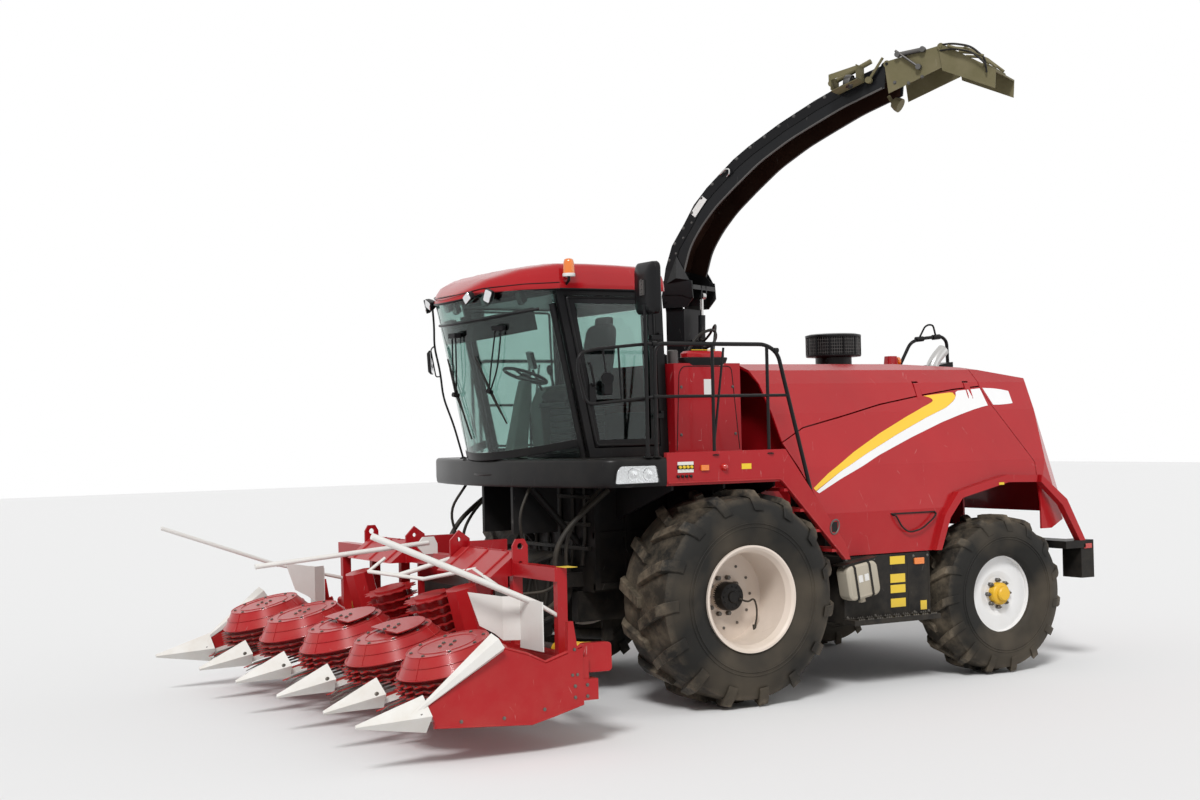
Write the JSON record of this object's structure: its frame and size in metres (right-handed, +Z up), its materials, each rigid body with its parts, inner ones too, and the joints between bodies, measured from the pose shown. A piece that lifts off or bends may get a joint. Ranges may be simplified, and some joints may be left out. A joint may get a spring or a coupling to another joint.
{
  "type": "forage harvester",
  "caption": "Self-propelled forage harvester with a rotary maize header, a glazed cab, a hooded engine and a turning discharge spout.",
  "frame": {"origin": "on the ground under the middle of the whole length and width", "axes": "+X forward, the way it drives; +Y to the machine's left; +Z up"},
  "size_m": [7.8061, 5.1688, 5.418],
  "materials": {
    "red_paint": "gloss",
    "black_paint": "satin",
    "white_paint": "gloss",
    "cream_paint": "gloss",
    "engine_grey": "matt",
    "glass": "clear",
    "lamp": "clear",
    "seat": "matt",
    "tyre": "matt",
    "chrome": "polished",
    "olive_paint": "matt",
    "plastic_black": "matt"
  },
  "bodies": {
    "machine": {"chassis_frame": "black_paint", "engine_block": "engine_grey", "platform": "red_paint", "lamps": "lamp", "cab_shell": "black_paint", "cab_roof": "red_paint", "cab_glass": "glass", "cab_seat": "seat", "hood_top": "red_paint", "handrails": "black_paint", "air_intake": "plastic_black", "exhaust": "chrome"},
    "side_panel_left": {"side_left": "red_paint"},
    "side_panel_right": {"side_right": "red_paint"},
    "tail_hood": {"tail_cap": "red_paint"},
    "cab_door": {"door_frame": "black_paint", "door_glass": "glass"},
    "wheel_front_left": {"tyre_front_left": "tyre", "rim_front_left": "cream_paint"},
    "wheel_front_right": {"tyre_front_right": "tyre", "rim_front_right": "cream_paint"},
    "wheel_rear_left": {"tyre_rear_left": "tyre", "rim_rear_left": "white_paint"},
    "wheel_rear_right": {"tyre_rear_right": "tyre", "rim_rear_right": "white_paint"},
    "knuckle_l": {"knuckle_left": "black_paint"},
    "knuckle_r": {"knuckle_right": "black_paint"},
    "steer_rod": {"tie_rod": "chrome"},
    "turntable": {"spout_turntable": "black_paint"},
    "chute": {"spout_chute": "black_paint"},
    "spout_cylinder": {"spout_barrel": "black_paint"},
    "spout_piston": {"spout_rod": "chrome"},
    "flap_mid": {"spout_flap_mid": "olive_paint"},
    "flap_tip": {"spout_flap_tip": "olive_paint"},
    "header": {"feeder_housing": "black_paint", "header_frame": "red_paint", "header_points": "white_paint"},
    "drum_1": {"rotor_1": "red_paint"},
    "drum_2": {"rotor_2": "red_paint"},
    "drum_3": {"rotor_3": "red_paint"},
    "drum_4": {"rotor_4": "red_paint"},
    "drum_5": {"rotor_5": "red_paint"},
    "feed_drum_l": {"feed_drum_left": "red_paint"},
    "feed_drum_r": {"feed_drum_right": "red_paint"},
    "lift_cylinders": {"lift_barrels": "black_paint"},
    "lift_pistons": {"lift_rods": "chrome"}
  },
  "joints": [
    {"name": "spin_front_left", "type": "hinge", "parent": "machine", "child": "wheel_front_left", "pos_m": [0.1869, 1.2556, 0.88479], "axis": [0, 1, 0], "continuous": true},
    {"name": "spin_front_right", "type": "hinge", "parent": "machine", "child": "wheel_front_right", "pos_m": [0.1869, -1.4584, 0.88479], "axis": [0, 1, 0], "continuous": true},
    {"name": "steer_left", "type": "hinge", "parent": "machine", "child": "knuckle_l", "pos_m": [-2.7331, 1.0986, 0.71702], "axis": [0, 0, 1], "range_deg": [-30, 30]},
    {"name": "steer_right", "type": "hinge", "parent": "machine", "child": "knuckle_r", "pos_m": [-2.7331, -1.3014, 0.71702], "axis": [0, 0, 1], "range_deg": [-30, 30]},
    {"name": "steer_rod", "type": "hinge", "parent": "knuckle_l", "child": "steer_rod", "pos_m": [-2.9231, 1.0986, 0.71702], "axis": [0, 0, 1], "range_deg": [-30, 30]},
    {"name": "spin_rear_left", "type": "hinge", "parent": "knuckle_l", "child": "wheel_rear_left", "pos_m": [-2.7331, 1.1716, 0.71702], "axis": [0, 1, 0], "continuous": true},
    {"name": "spin_rear_right", "type": "hinge", "parent": "knuckle_r", "child": "wheel_rear_right", "pos_m": [-2.7331, -1.3744, 0.71702], "axis": [0, 1, 0], "continuous": true},
    {"name": "door_swing", "type": "hinge", "parent": "machine", "child": "cab_door", "pos_m": [0.5169, 0.8236, 2.72], "axis": [0, 0, 1], "range_deg": [0, 42]},
    {"name": "side_left_lift", "type": "hinge", "parent": "machine", "child": "side_panel_left", "pos_m": [-1.7131, 0.9586, 2.62], "axis": [1, 0, 0], "range_deg": [0, 70]},
    {"name": "side_right_lift", "type": "hinge", "parent": "machine", "child": "side_panel_right", "pos_m": [-1.7131, -1.1614, 2.62], "axis": [-1, 0, 0], "range_deg": [0, 70]},
    {"name": "tail_lift", "type": "hinge", "parent": "machine", "child": "tail_hood", "pos_m": [-2.8671, -0.1014, 2.805], "axis": [0, 1, 0], "range_deg": [0, 50]},
    {"name": "spout_turn", "type": "hinge", "parent": "machine", "child": "turntable", "pos_m": [-0.3781, -0.16202, 2.9], "axis": [0, 0, 1], "range_deg": [-40, 160]},
    {"name": "spout_lift", "type": "hinge", "parent": "turntable", "child": "chute", "pos_m": [-0.3381, -0.2313, 3.42], "axis": [0.866, 0.5, 0], "range_deg": [-30, 5]},
    {"name": "flap_mid_tilt", "type": "hinge", "parent": "chute", "child": "flap_mid", "pos_m": [-1.4191, 1.64104, 5.305], "axis": [0.866, 0.5, 0], "range_deg": [-35, 10]},
    {"name": "flap_tip_tilt", "type": "hinge", "parent": "flap_mid", "child": "flap_tip", "pos_m": [-1.6581, 2.055, 5.388], "axis": [0.866, 0.5, 0], "range_deg": [-45, 20]},
    {"name": "header_lift", "type": "hinge", "parent": "machine", "child": "header", "pos_m": [1.1669, -0.1014, 1.02], "axis": [0, -1, 0], "range_deg": [-3, 20]},
    {"name": "drum_1_turn", "type": "hinge", "parent": "header", "child": "drum_1", "pos_m": [2.9769, -2.0414, 0.65], "axis": [0.2402, 0, 0.9707], "continuous": true},
    {"name": "drum_2_turn", "type": "hinge", "parent": "header", "child": "drum_2", "pos_m": [2.9769, -1.0714, 0.65], "axis": [0.2402, 0, 0.9707], "continuous": true},
    {"name": "drum_3_turn", "type": "hinge", "parent": "header", "child": "drum_3", "pos_m": [2.9769, -0.1014, 0.65], "axis": [0.2402, 0, 0.9707], "continuous": true},
    {"name": "drum_4_turn", "type": "hinge", "parent": "header", "child": "drum_4", "pos_m": [2.9769, 0.8686, 0.65], "axis": [0.2402, 0, 0.9707], "continuous": true},
    {"name": "drum_5_turn", "type": "hinge", "parent": "header", "child": "drum_5", "pos_m": [2.9769, 1.8386, 0.65], "axis": [0.2402, 0, 0.9707], "continuous": true},
    {"name": "feed_l_turn", "type": "hinge", "parent": "header", "child": "feed_drum_l", "pos_m": [2.38962, 0.3086, 0.79534], "axis": [0.2402, 0, 0.9707], "continuous": true},
    {"name": "feed_r_turn", "type": "hinge", "parent": "header", "child": "feed_drum_r", "pos_m": [2.38962, -0.5114, 0.79534], "axis": [0.2402, 0, 0.9707], "continuous": true},
    {"name": "spout_cylinder_tilt", "type": "hinge", "parent": "turntable", "child": "spout_cylinder", "pos_m": [-0.4606, -0.01913, 3.005], "axis": [0.866, 0.5, 0], "range_deg": [-0.296, 0.049]},
    {"name": "spout_piston_slide", "type": "slide", "parent": "spout_cylinder", "child": "spout_piston", "axis": [-0.0107, 0.0186, 0.9998], "range_m": [-0.13755, 0.02293]},
    {"name": "lift_cylinders_tilt", "type": "hinge", "parent": "machine", "child": "lift_cylinders", "pos_m": [0.7469, -0.1014, 0.52], "axis": [0, -1, 0], "range_deg": [-0.76, 5.05]},
    {"name": "lift_pistons_slide", "type": "slide", "parent": "lift_cylinders", "child": "lift_pistons", "axis": [0.993, 0, 0.1178], "range_m": [-0.02307, 0.15379]}
  ],
  "couplings": [
    {"joint": "steer_right", "follows": "steer_left", "ratio": 1},
    {"joint": "steer_rod", "follows": "steer_left", "ratio": -1},
    {"joint": "spout_cylinder_tilt", "follows": "spout_lift", "ratio": 0.00966},
    {"joint": "spout_piston_slide", "follows": "spout_lift", "m_per_rad": 0.25756},
    {"joint": "lift_cylinders_tilt", "follows": "header_lift", "ratio": 0.24738},
    {"joint": "lift_pistons_slide", "follows": "header_lift", "m_per_rad": 0.43193},
    {"joint": "feed_l_turn", "follows": "drum_3_turn", "ratio": -1.5},
    {"joint": "feed_r_turn", "follows": "drum_3_turn", "ratio": 1.5},
    {"joint": "drum_1_turn", "follows": "drum_3_turn", "ratio": -1},
    {"joint": "drum_2_turn", "follows": "drum_3_turn", "ratio": -1},
    {"joint": "drum_4_turn", "follows": "drum_3_turn", "ratio": 1},
    {"joint": "drum_5_turn", "follows": "drum_3_turn", "ratio": 1}
  ]
}
